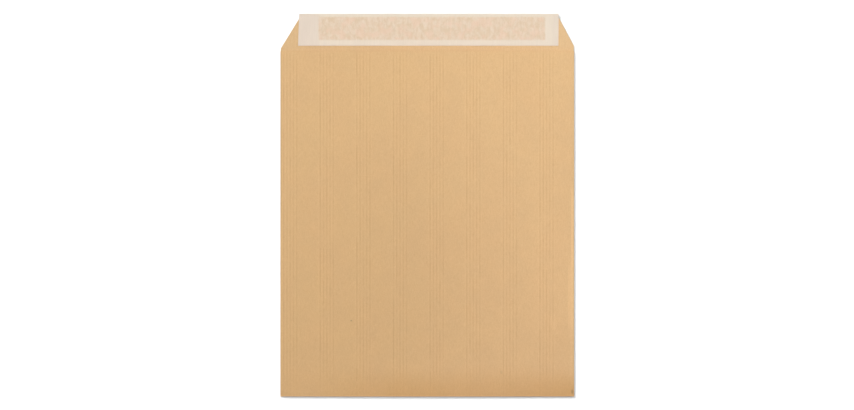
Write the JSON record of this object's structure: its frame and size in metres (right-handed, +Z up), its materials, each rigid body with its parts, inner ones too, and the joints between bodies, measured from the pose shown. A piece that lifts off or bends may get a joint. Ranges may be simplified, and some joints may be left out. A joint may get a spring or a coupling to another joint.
{
  "type": "paper envelope",
  "caption": "Pocket envelope of ribbed kraft paper, flap open, with a peel-off liner over the line of adhesive on its flap.",
  "frame": {"origin": "on the surface it lies on, under the middle of its outline with the flap open", "axes": "+Z up out of the seal side, +Y from the bottom fold to the edge of the flap, +X to the right seen from above with the flap at the top"},
  "size_m": [0.27, 0.352, 0.0079],
  "materials": {
    "kraft_paper": "matte",
    "seal_adhesive": "satin",
    "liner_paper": "satin"
  },
  "bodies": {
    "root": {"envelope": "kraft_paper", "adhesive_strip": "seal_adhesive", "release_liner": "liner_paper"}
  },
  "joints": []
}
